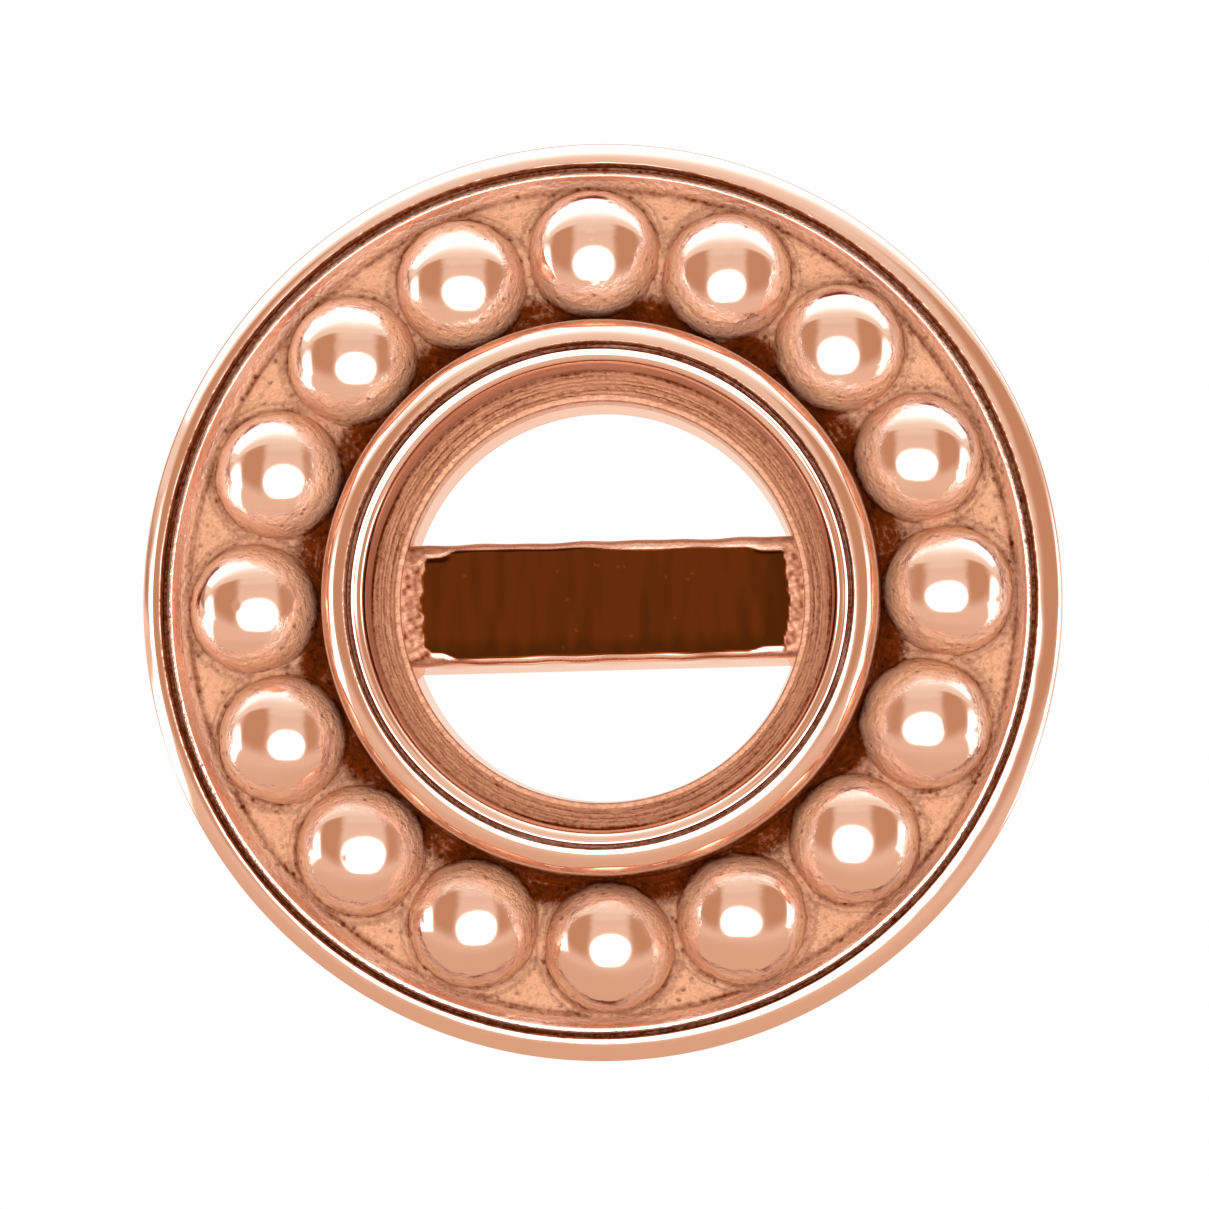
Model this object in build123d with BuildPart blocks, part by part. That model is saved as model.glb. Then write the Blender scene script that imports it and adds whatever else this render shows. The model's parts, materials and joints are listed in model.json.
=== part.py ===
from build123d import *
from math import asin, atan, atan2, cos, degrees, hypot, pi, radians, sin
import os

# A round ear stud mounting of rose gold, without its stone, in millimetres.
# A rimmed back tray is pierced by two windows that leave a cross bar. A cast ring of
# beads lies in the tray, a stone cup stands inside the ring, and the ear post stands
# in a shallow seat in the back of the bar. Radii and heights are those of the jewel's
# own axis, and heights start at its flat back. The jewel lies on its rim and on the
# post's tip.

# Stone cup
stone_radius = 3.5          # a round stone of 7 mm
stone_play = 0.02           # between the stone and the cup's wall
stone_ledge = 0.05          # shelf under the stone's edge
seat_cone_width = 0.31      # slope from the shelf down to the cup's hole
seat_cone_height = 0.30
cup_wall_height = 0.64      # upright wall around the stone
cup_flare = 0.13            # how far the mouth opens above that wall
cup_flare_height = 0.14
lip_width = 0.11            # round lip, measured across
cup_gap = 0.03              # under the cup

# Beaded ring
seam_gap = 0.06             # between the ring and the cup, and the ring and the rim
collar_width = 0.36         # inner roll, measured across its top
collar_flank = 0.10         # spread of the roll's outer side
collar_height = 2.23        # where the roll's round top starts, on its outer side
collar_crown = 0.32         # rise of that top to its crest, which is the inner edge
ring_floor_height = 1.60
bead_radius = 1.00
bead_room = 0.015           # between a bead's foot and the borders
bead_space = 0.05           # between neighbours' feet
bead_height = 0.86          # above the ring's floor
bead_shoulder = 0.70        # rounding of its side, below a flatter crown
bead_root = 0.20            # depth of a bead's foot in the floor
border_slope_width = 0.20   # outer border, sloping up from the floor
border_edge_width = 0.08    # and its round edge
border_height = 0.17        # above the ring's floor
ring_gap = 0.03             # under the ring

# Back tray
rim_slope_width = 0.30      # the rim falls from its inner edge outwards
rim_slope_height = 0.14
rim_edge_width = 0.05       # and has a round outer edge
rim_bevel = 0.02            # at its inner edge
rim_height = 1.93
tray_thickness = 0.65
back_corner = 0.45          # round corner between the rim and the flat back
bar_thickness = 1.20
bar_width = 2.00            # at the back
window_draft = 0.07         # how much each side closes in from front to back
window_ledge = 0.06         # of the plate, seen inside the cup's hole
bar_edge = 0.14             # round front edges of the bar

# Ear post
post_radius = 0.40
post_length = 9.10          # from the flat back to the tip
post_seat_depth = 0.05      # its seat in the back of the bar
post_play = 0.02            # around the post and above its end, in that seat

# How far the bar stands turned against the ground, seen from the front
bar_turn = 3.1

# Radii, from the stone outwards
seat_radius = stone_radius + stone_play
shelf_radius = seat_radius - stone_ledge
cup_hole_radius = shelf_radius - seat_cone_width
mouth_radius = seat_radius + cup_flare
cup_radius = mouth_radius + lip_width
ring_inner_radius = cup_radius + seam_gap
collar_radius = ring_inner_radius + collar_width
collar_foot_radius = collar_radius + collar_flank
bead_circle = collar_foot_radius + bead_room + bead_radius
border_foot_radius = bead_circle + bead_radius + bead_room
border_crest_radius = border_foot_radius + border_slope_width
ring_outer_radius = border_crest_radius + border_edge_width
rim_inner_radius = ring_outer_radius + seam_gap
rim_edge_radius = rim_inner_radius + rim_slope_width
rim_radius = rim_edge_radius + rim_edge_width
window_radius = cup_hole_radius - window_ledge

# Heights, from the flat back forwards
cup_foot_height = bar_thickness + cup_gap
shelf_height = cup_foot_height + seat_cone_height
mouth_height = shelf_height + cup_wall_height + cup_flare_height
ring_foot_height = tray_thickness + ring_gap
rim_shoulder_height = rim_height - rim_slope_height
rim_edge_height = rim_shoulder_height - rim_edge_width
post_end_height = post_seat_depth - post_play

# As many beads as the circle holds
bead_count = int(2 * pi * bead_circle / (2 * bead_radius + bead_space))

# The jewel leans back until the rim and the tip of the post touch the ground. Both
# ends are round, so the lean follows from the centres of those two rounds.
tip_centre = post_length - post_radius
run = tip_centre + back_corner
rise = rim_radius - back_corner
lean = atan2(rise, run) + asin((back_corner - post_radius) / hypot(run, rise))
hub_height = rise * cos(lean) - back_corner * sin(lean) + back_corner

# The middle of the floor area is the origin: it lies between the rim's front and the tip
front_reach = rim_edge_radius * sin(lean) + rim_edge_height * cos(lean) + rim_edge_width
tip_reach = tip_centre * cos(lean) + post_radius
hub = Vector(0, (front_reach - tip_reach) / 2, hub_height)

facing = Vector(0, -cos(lean), sin(lean))
across = Vector(1, 0, 0) * cos(radians(bar_turn)) + facing.cross(Vector(1, 0, 0)) * sin(radians(bar_turn))
back = Plane(origin=hub, x_dir=across, z_dir=facing)
section = Plane(origin=hub, x_dir=across, z_dir=across.cross(facing))
axis = Axis(hub, facing)


# Back tray: rim with a sloping top, floor, raised seat for the cup
with BuildPart() as back_tray:
    with BuildSketch(section):
        with BuildLine():
            Polyline(
                (rim_edge_radius, rim_shoulder_height),
                (rim_inner_radius + rim_bevel, rim_height),
                (rim_inner_radius, rim_height - rim_bevel),
                (rim_inner_radius, tray_thickness),
                (cup_radius, tray_thickness),
                (cup_radius, bar_thickness),
                (0, bar_thickness),
                (0, 0),
                (rim_radius - back_corner, 0),
            )
            RadiusArc((rim_radius - back_corner, 0), (rim_radius, back_corner), -back_corner)
            Line((rim_radius, back_corner), (rim_radius, rim_edge_height))
            RadiusArc(
                (rim_radius, rim_edge_height),
                (rim_edge_radius, rim_shoulder_height),
                -rim_edge_width,
            )
        make_face()
    revolve(axis=axis)

    # Two windows leave the bar between them
    bar_front_width = bar_width - 2 * window_draft
    with BuildSketch(back.offset(bar_thickness)):
        Circle(window_radius)
        Rectangle(2 * rim_radius, bar_front_width, mode=Mode.SUBTRACT)
    extrude(amount=-bar_thickness, taper=degrees(atan(window_draft / bar_thickness)), mode=Mode.SUBTRACT)

    # Worn front edges of the bar
    straight_edges = back_tray.edges().filter_by(GeomType.LINE)
    bar_edges = [
        edge for edge in straight_edges
        if abs(back.to_local_coords(edge.center()).Z - bar_thickness) < seam_gap
        and edge.length > bar_width
    ]
    fillet(bar_edges, bar_edge)

    # Shallow seat for the post
    with BuildSketch(back):
        Circle(post_radius + post_play)
    extrude(amount=post_seat_depth, mode=Mode.SUBTRACT)
back_tray.part.label = "back_tray"


# One bead, in a frame of its own: a round side and a flatter crown
shoulder_offset = bead_radius - bead_shoulder
crown_drop = bead_height - bead_shoulder
crown_radius = (bead_height**2 + shoulder_offset**2 - bead_shoulder**2) / (2 * crown_drop)
crown_centre = Vector(0, ring_floor_height + bead_height - crown_radius)
shoulder_centre = Vector(shoulder_offset, ring_floor_height)
crown_end = crown_centre + (shoulder_centre - crown_centre).normalized() * crown_radius
with BuildPart() as bead:
    with BuildSketch(Plane.XZ):
        with BuildLine():
            Polyline(
                (0, ring_floor_height + bead_height),
                (0, ring_floor_height - bead_root),
                (bead_radius, ring_floor_height - bead_root),
                (bead_radius, ring_floor_height),
            )
            side = TangentArc((bead_radius, ring_floor_height), crown_end, tangent=(0, 1))
            TangentArc(side @ 1, (0, ring_floor_height + bead_height), tangent=side % 1)
        make_face()
    revolve(axis=Axis.Z)


# Beaded ring: inner roll, floor with its row of beads, sloping outer border
with BuildPart(back) as beaded_ring:
    with BuildSketch(section):
        with BuildLine():
            Polyline(
                (ring_inner_radius, collar_height + collar_crown),
                (ring_inner_radius, ring_foot_height),
                (ring_outer_radius, ring_foot_height),
                (ring_outer_radius, ring_floor_height + border_height - border_edge_width),
            )
            RadiusArc(
                (ring_outer_radius, ring_floor_height + border_height - border_edge_width),
                (border_crest_radius, ring_floor_height + border_height),
                -border_edge_width,
            )
            Polyline(
                (border_crest_radius, ring_floor_height + border_height),
                (border_foot_radius, ring_floor_height),
                (collar_foot_radius, ring_floor_height),
                (collar_radius, collar_height),
            )
            ThreePointArc(
                (collar_radius, collar_height),
                (ring_inner_radius + collar_width * sin(pi / 4), collar_height + collar_crown * sin(pi / 4)),
                (ring_inner_radius, collar_height + collar_crown),
            )
        make_face()
    revolve(axis=axis)
    with PolarLocations(bead_circle, bead_count):
        add(bead.part)
beaded_ring.part.label = "beaded_ring"


# Stone cup: cone under the stone, shelf, upright wall, flared mouth with a round lip
with BuildPart() as stone_cup:
    with BuildSketch(section):
        with BuildLine():
            Polyline(
                (cup_radius, mouth_height),
                (cup_radius, cup_foot_height),
                (cup_hole_radius, cup_foot_height),
                (shelf_radius, shelf_height),
                (seat_radius, shelf_height),
                (seat_radius, shelf_height + cup_wall_height),
                (mouth_radius, mouth_height),
            )
            ThreePointArc(
                (cup_radius, mouth_height),
                (mouth_radius + lip_width / 2, mouth_height + lip_width / 2),
                (mouth_radius, mouth_height),
            )
        make_face()
    revolve(axis=axis)
stone_cup.part.label = "stone_cup"


# Ear post: a plain pin with a round tip
with BuildPart() as ear_post:
    with BuildSketch(section):
        with BuildLine():
            Polyline(
                (0, -post_length),
                (0, post_end_height),
                (post_radius, post_end_height),
                (post_radius, -tip_centre),
            )
            RadiusArc((post_radius, -tip_centre), (0, -post_length), post_radius)
        make_face()
    revolve(axis=axis)
ear_post.part.label = "ear_post"


os.makedirs("parts", exist_ok=True)
export_step(back_tray.part, "parts/back_tray.step")
export_step(beaded_ring.part, "parts/beaded_ring.step")
export_step(stone_cup.part, "parts/stone_cup.step")
export_step(ear_post.part, "parts/ear_post.step")
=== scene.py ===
import bpy
import json
import math
import numpy as np
from mathutils import Matrix, Vector


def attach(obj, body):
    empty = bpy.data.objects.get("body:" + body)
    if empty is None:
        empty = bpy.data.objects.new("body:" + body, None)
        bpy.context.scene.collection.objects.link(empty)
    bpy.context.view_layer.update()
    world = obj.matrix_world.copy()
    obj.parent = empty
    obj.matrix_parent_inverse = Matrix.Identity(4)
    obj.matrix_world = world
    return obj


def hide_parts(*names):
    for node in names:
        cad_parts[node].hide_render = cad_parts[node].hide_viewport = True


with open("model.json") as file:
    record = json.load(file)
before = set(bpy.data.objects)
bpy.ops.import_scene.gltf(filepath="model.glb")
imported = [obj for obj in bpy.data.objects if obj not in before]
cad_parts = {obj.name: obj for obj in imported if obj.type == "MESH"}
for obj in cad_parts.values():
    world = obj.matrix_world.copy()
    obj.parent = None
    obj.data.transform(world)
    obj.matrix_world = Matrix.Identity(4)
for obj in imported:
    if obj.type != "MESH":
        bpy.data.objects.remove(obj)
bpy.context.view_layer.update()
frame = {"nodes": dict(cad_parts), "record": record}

# A round ear stud mounting of rose gold: a rimmed tray with a cross bar, a cast ring of
# beads, a turned cup for the stone and a plain post. All meshes are made in millimetres
# in the jewel's own frame: x along the bar, y to its upper rim, z out of its face.
mm = 0.001

mounts = {mount["name"]: mount for mount in frame["record"]["mounts"]}
facing = Vector(mounts["stone_seat"]["axis"])
seatPlace = Vector(mounts["stone_seat"]["pos_m"])
lobePlace = Vector(mounts["lobe_face"]["pos_m"])
hub = seatPlace + facing * (lobePlace - seatPlace).dot(facing)
jewelUp = (hub - lobePlace).normalized()
barWay = jewelUp.cross(facing)
jewelFrame = Matrix((barWay, jewelUp, facing)).transposed().to_4x4()
jewelFrame.translation = hub


def measure(nodeName):
    # inner and outer radius, and lowest and highest place along the jewel's axis
    vertices = frame["nodes"][nodeName].data.vertices
    places = np.array([vertex.co for vertex in vertices]) - np.array(hub)
    heights = places @ np.array(facing)
    radii = np.linalg.norm(places - np.outer(heights, facing), axis=1)
    return {"inner": radii.min() / mm, "outer": radii.max() / mm,
            "low": heights.min() / mm, "high": heights.max() / mm}


traySize = measure("back_tray")
ringSize = measure("beaded_ring")
cupSize = measure("stone_cup")
postSize = measure("ear_post")
seatRadius = mounts["stone_seat"]["dims"]["r_mm"]
print("frame", traySize, ringSize, cupSize, postSize)

# Camera
view = {
    "distance": 59.5,       # mm from the middle of the beads
    "aimHeight": 1.0,       # mm in front of the flat back
    "belowAxis": 4.6,       # degrees
    "besideAxis": 2.6,
    "frameWidth": 18.62,    # mm across the picture
    "aimRight": 0.03,       # mm
    "aimUp": -0.035,
}


def makeCamera():
    right = Vector((1, 0, 0))
    upward = facing.cross(right)
    toCamera = facing + right * math.tan(math.radians(view["besideAxis"]))
    toCamera = (toCamera - upward * math.tan(math.radians(view["belowAxis"]))).normalized()
    aim = hub + facing * view["aimHeight"] * mm
    aim = aim + (right * view["aimRight"] + upward * view["aimUp"]) * mm
    data = bpy.data.cameras.new("camera")
    data.sensor_width = 36
    data.lens = data.sensor_width * view["distance"] / view["frameWidth"]
    data.clip_start = 0.001
    data.clip_end = 10
    camera = bpy.data.objects.new("camera", data)
    camera.location = aim + toCamera * view["distance"] * mm
    camera.rotation_mode = "QUATERNION"
    camera.rotation_quaternion = (-toCamera).to_track_quat("-Z", "Y")
    bpy.context.scene.collection.objects.link(camera)
    bpy.context.scene.camera = camera
    return toCamera


toCamera = makeCamera()
print("camera")


# Outlines and turned shells

def roundCorner(before, corner, after, radius, step):
    # points of the arc that rounds one corner
    one = (before - corner) / np.linalg.norm(before - corner)
    two = (after - corner) / np.linalg.norm(after - corner)
    turn = math.pi - math.acos(np.clip(one @ two, -1, 1))
    reach = radius * math.tan(turn / 2)
    middle = (one + two) / np.linalg.norm(one + two)
    centre = corner + middle * math.hypot(radius, reach)
    start = corner + one * reach - centre
    end = corner + two * reach - centre
    count = max(3, math.ceil(radius * turn / step))
    shares = np.linspace(0, 1, count + 1)[:, None]
    return centre + (start * np.sin((1 - shares) * turn) + end * np.sin(shares * turn)) / math.sin(turn)


def arcThrough(start, end, rise, count):
    # points of an arc that bulges to the left of the way from start to end
    start = np.array(start, float)
    end = np.array(end, float)
    half = np.linalg.norm(end - start) / 2
    chord = (end - start) / (2 * half)
    outward = np.array((-chord[1], chord[0]))
    radius = (half ** 2 + rise ** 2) / (2 * rise)
    turn = math.asin(min(1, half / radius))
    swing = np.linspace(-turn, turn, count)[:, None]
    centre = (start + end) / 2 + outward * (rise - radius)
    return centre + radius * (np.cos(swing) * outward + np.sin(swing) * chord)


def bendThrough(start, knee, end, count):
    # points of a soft bend from start to end, drawn towards the knee
    share = np.linspace(0, 1, count + 1)[1:, None]
    start, knee, end = (np.array(point, float) for point in (start, knee, end))
    return (1 - share) ** 2 * start + 2 * share * (1 - share) * knee + share ** 2 * end


def outline(stops):
    # closed line through its stops: corners of (radius, height, rounding, spacing of the
    # points to the next stop), or ready arcs with the same spacing
    stops = [stop if isinstance(stop, tuple) and len(stop) == 2
             else (np.array([stop[:2]], float), stop[2], stop[3]) for stop in stops]
    bends = []
    for index, stop in enumerate(stops):
        if len(stop) == 2:
            bends.append(stop)
            continue
        corner, rounding, step = stop
        before = stops[index - 1][0][-1]
        after = stops[(index + 1) % len(stops)][0][0]
        if rounding:
            corner = roundCorner(before, corner[0], after, rounding, min(step, rounding / 4))
        bends.append((corner, step))
    points = []
    for index, (bend, step) in enumerate(bends):
        points.extend(bend)
        start = bend[-1]
        end = bends[(index + 1) % len(bends)][0][0]
        count = max(1, round(float(np.linalg.norm(end - start)) / step))
        points.extend(start + (end - start) * share for share in np.linspace(0, 1, count + 1)[1:-1])
    return np.array(points)


def turned(line, turns):
    # radius, height and angle of every point of a turned shell
    angle = np.linspace(0, 2 * math.pi, turns, endpoint=False)[:, None]
    radius = np.broadcast_to(line[:, 0], (turns, len(line))).copy()
    height = np.broadcast_to(line[:, 1], (turns, len(line))).copy()
    return radius, height, np.broadcast_to(angle, radius.shape)


def onAxis(radius, height, angle):
    return np.stack((radius * np.cos(angle), radius * np.sin(angle), height), -1)


def gridFaces(rows, columns):
    # quads of a grid that closes on itself both ways
    row = np.arange(rows)[:, None]
    column = np.arange(columns)[None]
    nextRow = (row + 1) % rows
    nextColumn = (column + 1) % columns
    faces = np.stack((row * columns + column, nextRow * columns + column,
                      nextRow * columns + nextColumn, row * columns + nextColumn), -1)
    return faces.reshape(-1, 4).tolist()


def domeFaces(rings, sides):
    # quads between rings of points, with a fan to one point at each end
    faces = []
    for ring in range(rings - 1):
        for side in range(sides):
            beside = (side + 1) % sides
            faces.append([ring * sides + side, ring * sides + beside,
                          (ring + 1) * sides + beside, (ring + 1) * sides + side])
    first = rings * sides
    last = first + 1
    for side in range(sides):
        beside = (side + 1) % sides
        faces.append([first, beside, side])
        faces.append([last, (rings - 1) * sides + side, (rings - 1) * sides + beside])
    return faces


def makeMesh(name, points, faces):
    # an object with a closed mesh in millimetres, its faces turned outwards
    mesh = bpy.data.meshes.new(name)
    mesh.from_pydata(points.reshape(-1, 3).tolist(), [], faces)
    mesh.update()
    corners = np.array([vertex.co for vertex in mesh.vertices])
    triangles = np.array([face[:3] for face in faces])
    others = np.array([[face[0], face[2], face[3]] for face in faces if len(face) == 4])
    a, b, c = (corners[np.concatenate((triangles, others))[:, i]] for i in range(3))
    if np.einsum("ij,ij->i", a, np.cross(b, c)).sum() < 0:
        mesh.flip_normals()
    thing = bpy.data.objects.new(name, mesh)
    bpy.context.scene.collection.objects.link(thing)
    return thing


def fuse(thing, others):
    # one closed body of several that overlap, without doubled faces
    for other in others:
        modifier = thing.modifiers.new("fuse", "BOOLEAN")
        modifier.operation = "UNION"
        modifier.solver = "MANIFOLD"
        modifier.object = other
    graph = bpy.context.evaluated_depsgraph_get()
    fused = bpy.data.meshes.new_from_object(thing.evaluated_get(graph))
    fused.validate()
    thing.modifiers.clear()
    thing.data = fused
    for other in others:
        bpy.data.objects.remove(other)


# Irregularity of hand work

def ripple(points, size, seed, waves=20):
    # soft noise of about -1 to 1 with bumps of the given size in mm
    random = np.random.default_rng(seed)
    ways = random.normal(size=(waves, 3))
    ways /= np.linalg.norm(ways, axis=1)[:, None]
    ways *= (math.pi / (size * random.uniform(0.7, 1.5, waves)))[:, None]
    phases = random.uniform(0, 2 * math.pi, waves)
    return np.sin(points @ ways.T + phases).sum(-1) / math.sqrt(waves)


def waver(way, seed, sizes):
    # slow change along one way, of about -1 to 1, as a sum of waves of the given lengths
    random = np.random.default_rng(seed)
    total = np.zeros_like(way)
    for size in sizes:
        total = total + np.sin(way * 2 * math.pi / size + random.uniform(0, 2 * math.pi))
    return total / math.sqrt(len(sizes))


roundWaves = [2 * math.pi / count for count in (1, 2, 3, 5, 7, 9)]


def between(value, low, high):
    # smooth step from 0 to 1
    share = np.clip((value - low) / (high - low), 0, 1)
    return share * share * (3 - 2 * share)


def readPoints(thing):
    points = np.empty(len(thing.data.vertices) * 3)
    thing.data.vertices.foreach_get("co", points)
    points = points.reshape(-1, 3)
    return points, np.hypot(points[:, 0], points[:, 1]), points[:, 2]


def roundPlace(points):
    # place on a lathe: radius and height in mm, and hardly any change round the axis
    radius = np.hypot(points[:, 0], points[:, 1])
    slow = (0.15 * points[:, 0] + 0.1 * points[:, 1]) / (radius + 0.1)
    return np.stack((radius, points[:, 2], slow), -1)


def giveFinish(thing, polish, hollow, lathe=None):
    # what the materials read at each point: its place in mm, its place on the lathe, how polished it is,
    # and how much brown it takes: painted shade and tarnish in corners, dark seams, the painted dark
    # reflection on the bar's flat
    points, radius, height = readPoints(thing)
    if lathe is None:
        lathe = roundPlace(points)
    for name, kind, values in (("place", "FLOAT_VECTOR", points), ("lathe", "FLOAT_VECTOR", lathe),
                               ("polish", "FLOAT", polish), ("hollow", "FLOAT", hollow)):
        layer = thing.data.attributes.new(name, kind, "POINT")
        slot = "vector" if kind == "FLOAT_VECTOR" else "value"
        layer.data.foreach_set(slot, np.ascontiguousarray(values, np.float32).ravel())


def setDown(thing, node, material, sharpAngle=38):
    # into the frame, in metres, in place of its CAD node
    thing.data.transform(jewelFrame @ Matrix.Scale(mm, 4))
    thing.data.shade_smooth()
    thing.data.set_sharp_from_angle(angle=math.radians(sharpAngle))
    thing.data.materials.clear()
    thing.data.materials.append(material)
    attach(thing, "root")
    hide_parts(node)
    thing.data.calc_loop_triangles()
    print("piece", thing.name, len(thing.data.loop_triangles), "triangles")


# Materials

def toLinear(hexColour):
    channels = [int(hexColour[i:i + 2], 16) / 255 for i in (1, 3, 5)]
    linear = [c / 12.92 if c <= 0.04045 else ((c + 0.055) / 1.055) ** 2.4 for c in channels]
    return (*linear, 1)


def addNode(tree, kind, values=None, output=0):
    # a node whose values are set, or linked where they are outputs of other nodes
    node = tree.nodes.new("ShaderNode" + kind)
    for key, value in (values or {}).items():
        if isinstance(value, bpy.types.NodeSocket):
            tree.links.new(value, node.inputs[key])
        elif isinstance(key, int) or key in node.inputs:
            node.inputs[key].default_value = value
        else:
            setattr(node, key, value)
    return node.outputs[output] if len(node.outputs) else None


def roseGold(name, finish):
    # 14 carat rose gold: a warm pinkish metal whose corners are painted deep brown as shade, with tarnish,
    # mirror bright where it is polished and matt where the cast or cut skin is left
    material = bpy.data.materials.new(name)
    material.use_nodes = True
    tree = material.node_tree
    tree.nodes.clear()
    place = addNode(tree, "Attribute", {"attribute_name": "place"}, "Vector")
    lathe = addNode(tree, "Attribute", {"attribute_name": "lathe"}, "Vector")
    polish = addNode(tree, "Attribute", {"attribute_name": "polish"}, "Fac")
    hollow = addNode(tree, "Attribute", {"attribute_name": "hollow"}, "Fac")
    rough = addNode(tree, "Math", {"operation": "SUBTRACT", 0: 1.0, 1: polish})

    # cast skin, pinholes and cut marks, only where the metal isn't polished, each with
    # brown in its troughs on top of the painted shade and tarnish in the corners
    skin = addNode(tree, "TexNoise", {"Scale": 1 / finish["skinSize"], "Detail": 4.0,
                   "Roughness": 0.6, "Vector": place}, "Fac")
    skin = addNode(tree, "Math", {"operation": "SUBTRACT", 0: skin, 1: 0.5})
    pits = addNode(tree, "TexVoronoi", {"Scale": 1 / finish["pitSpacing"], "Vector": place}, "Distance")
    pits = addNode(tree, "MapRange", {"From Min": 0.0, "From Max": finish["pitShare"],
                   "To Min": 1.0, "To Max": 0.0, "Value": pits})
    lines = addNode(tree, "TexNoise", {"Scale": 1 / finish["lineSize"], "Detail": 3.0,
                    "Roughness": 0.6, "Vector": lathe}, "Fac")
    lines = addNode(tree, "Math", {"operation": "SUBTRACT", 0: lines, 1: 0.5})
    bump = {}
    tarnish = hollow
    for mark, height in (("skin", skin), ("pit", pits), ("line", lines)):
        height = addNode(tree, "Math", {"operation": "MULTIPLY", 0: height, 1: rough})
        bump["Normal"] = addNode(tree, "Bump", {"Distance": finish[mark + "Depth"] * mm,
                                 "invert": mark == "pit", "Height": height, **bump})
        tarnish = addNode(tree, "Math", {"operation": "MULTIPLY_ADD", 0: height,
                          1: finish[mark + "Tarnish"], 2: tarnish})

    # skin, polished metal, brown of painted shade and tarnish, and the deepest painted shade and
    # reflection
    colour = addNode(tree, "Mix", {"data_type": "RGBA", 0: polish, 6: toLinear(finish["skin"]),
                     7: toLinear(finish["colour"])}, 2)
    colour = addNode(tree, "Mix", {"data_type": "RGBA", 0: tarnish, 6: colour,
                     7: toLinear(finish["tarnish"])}, 2)
    deep = addNode(tree, "MapRange", {"From Min": 1.0, "From Max": 1.5, "Value": tarnish})
    colour = addNode(tree, "Mix", {"data_type": "RGBA", 0: deep, 6: colour,
                     7: toLinear(finish["deep"])}, 2)
    gloss = addNode(tree, "MapRange", {"To Min": finish["roughSkin"], "To Max": finish["roughPolish"],
                    "Value": polish})
    bare = addNode(tree, "MapRange", {"To Min": finish["bareSkin"], "To Max": 1.0, "Value": polish})
    dull = addNode(tree, "Math", {"operation": "MULTIPLY", "use_clamp": True, 0: hollow, 1: rough})
    bright = addNode(tree, "Math", {"operation": "SUBTRACT", 0: 1.0, 1: dull})
    bare = addNode(tree, "Math", {"operation": "MULTIPLY", 0: bare, 1: bright})
    metal = addNode(tree, "BsdfPrincipled", {"Specular Tint": toLinear(finish["edgeTint"]),
                    "Specular IOR Level": 0.0, "Metallic": bare, "Base Color": colour,
                    "Roughness": gloss, **bump})
    addNode(tree, "OutputMaterial", {"Surface": metal})
    return material


castFinish = {
    "colour": "#F7CDB7",
    "skin": "#E4AF88",      # casting leaves it browner than polished metal
    "bareSkin": 0.35,       # share of bare metal in that dull skin
    # brown of painted shade and tarnish in the corners, and of dark seams
    "tarnish": "#74300B",
    "deep": "#4A1C04",      # painted deepest shade in the narrowest corners
    "edgeTint": "#F6CDB8",  # keeps its colour at a flat angle
    "skinSize": 0.09,       # mm, grain of the casting plaster
    "skinDepth": 0.06,
    "skinTarnish": 1.2,
    "pitSpacing": 0.20,     # mm between pinholes
    "pitShare": 0.23,
    "pitDepth": 0.03,
    "pitTarnish": 0.55,
    "lineSize": 0.06,       # mm between the scraper's marks round each bead
    "lineDepth": 0.010,
    "lineTarnish": 1.0,
    "roughSkin": 0.50,
    "roughPolish": 0.10,
}
turnedFinish = {
    "colour": "#F7CDB7",
    "skin": "#CC9470",
    "bareSkin": 0.45,
    # brown of painted shade and tarnish in the corners, and of dark seams
    "tarnish": "#74300B",
    "deep": "#4A1C04",
    "edgeTint": "#F6CDB8",
    "skinSize": 0.07,
    "skinDepth": 0.03,
    "skinTarnish": 1.8,
    "pitSpacing": 0.14,
    "pitShare": 0.25,
    "pitDepth": 0.010,
    "pitTarnish": 0.3,
    "lineSize": 0.05,       # mm between the burr's marks, as coarse as it needs to show
    "lineDepth": 0.006,
    "lineTarnish": 3.0,
    "roughSkin": 0.45,
    "roughPolish": 0.10,
}
polishedFinish = {
    "colour": "#F7CDB7",
    "skin": "#D9A07C",
    "bareSkin": 0.7,
    # brown of the dark seams, and of painted shade and tarnish
    "tarnish": "#74300B",
    # deepest tone: the painted dark reflection and painted shade on the bar's flat
    "deep": "#2C1002",
    "edgeTint": "#FFF4EC",
    "skinSize": 0.10,
    "skinDepth": 0.02,
    "skinTarnish": 1.2,
    "pitSpacing": 0.3,
    "pitShare": 0.15,
    "pitDepth": 0.01,
    "pitTarnish": 0.0,
    "lineSize": 0.08,
    "lineDepth": 0.0005,
    "lineTarnish": 0.0,
    "roughSkin": 0.35,
    "roughPolish": 0.10,
}
castRoseGold = roseGold("cast rose gold", castFinish)
turnedRoseGold = roseGold("turned rose gold", turnedFinish)
polishedRoseGold = roseGold("polished rose gold", polishedFinish)
print("materials")


# Back tray with its bar

tray = {
    "turns": 576,
    # start, knee and end of the rim's round top, outwards from its inner wall and upwards
    # from its crest
    "roll": ((0.015, 0.0), (0.175, -0.022), (0.335, -0.17)),
    "rollEnd": 0.20,        # from the crest down to the rim's outer edge
    "rimEdge": 0.03,        # rounding of that edge
    "backCorner": 0.45,     # and between the rim's wall and the flat back
    "plate": 0.65,          # thickness
    "seatHeight": 1.20,     # of the raised part under the cup
    "windowLedge": 0.06,    # of that part, seen inside the cup's hole
    "draft": 0.06,          # the windows' round sides close in by this towards the back
    "seamShift": -0.045,    # the ring sits a little to the left in its rim
    "wear": 0.006,
    "wearSize": 0.25,
    "seamWall": (4.5, 5.0),     # outside these radii the tray's inner side is the seam
    "seamBrown": 0.9,
    "ledgeBrown": 0.20,
    "backPolish": 0.6,      # the flat back is only sanded
}
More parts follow.
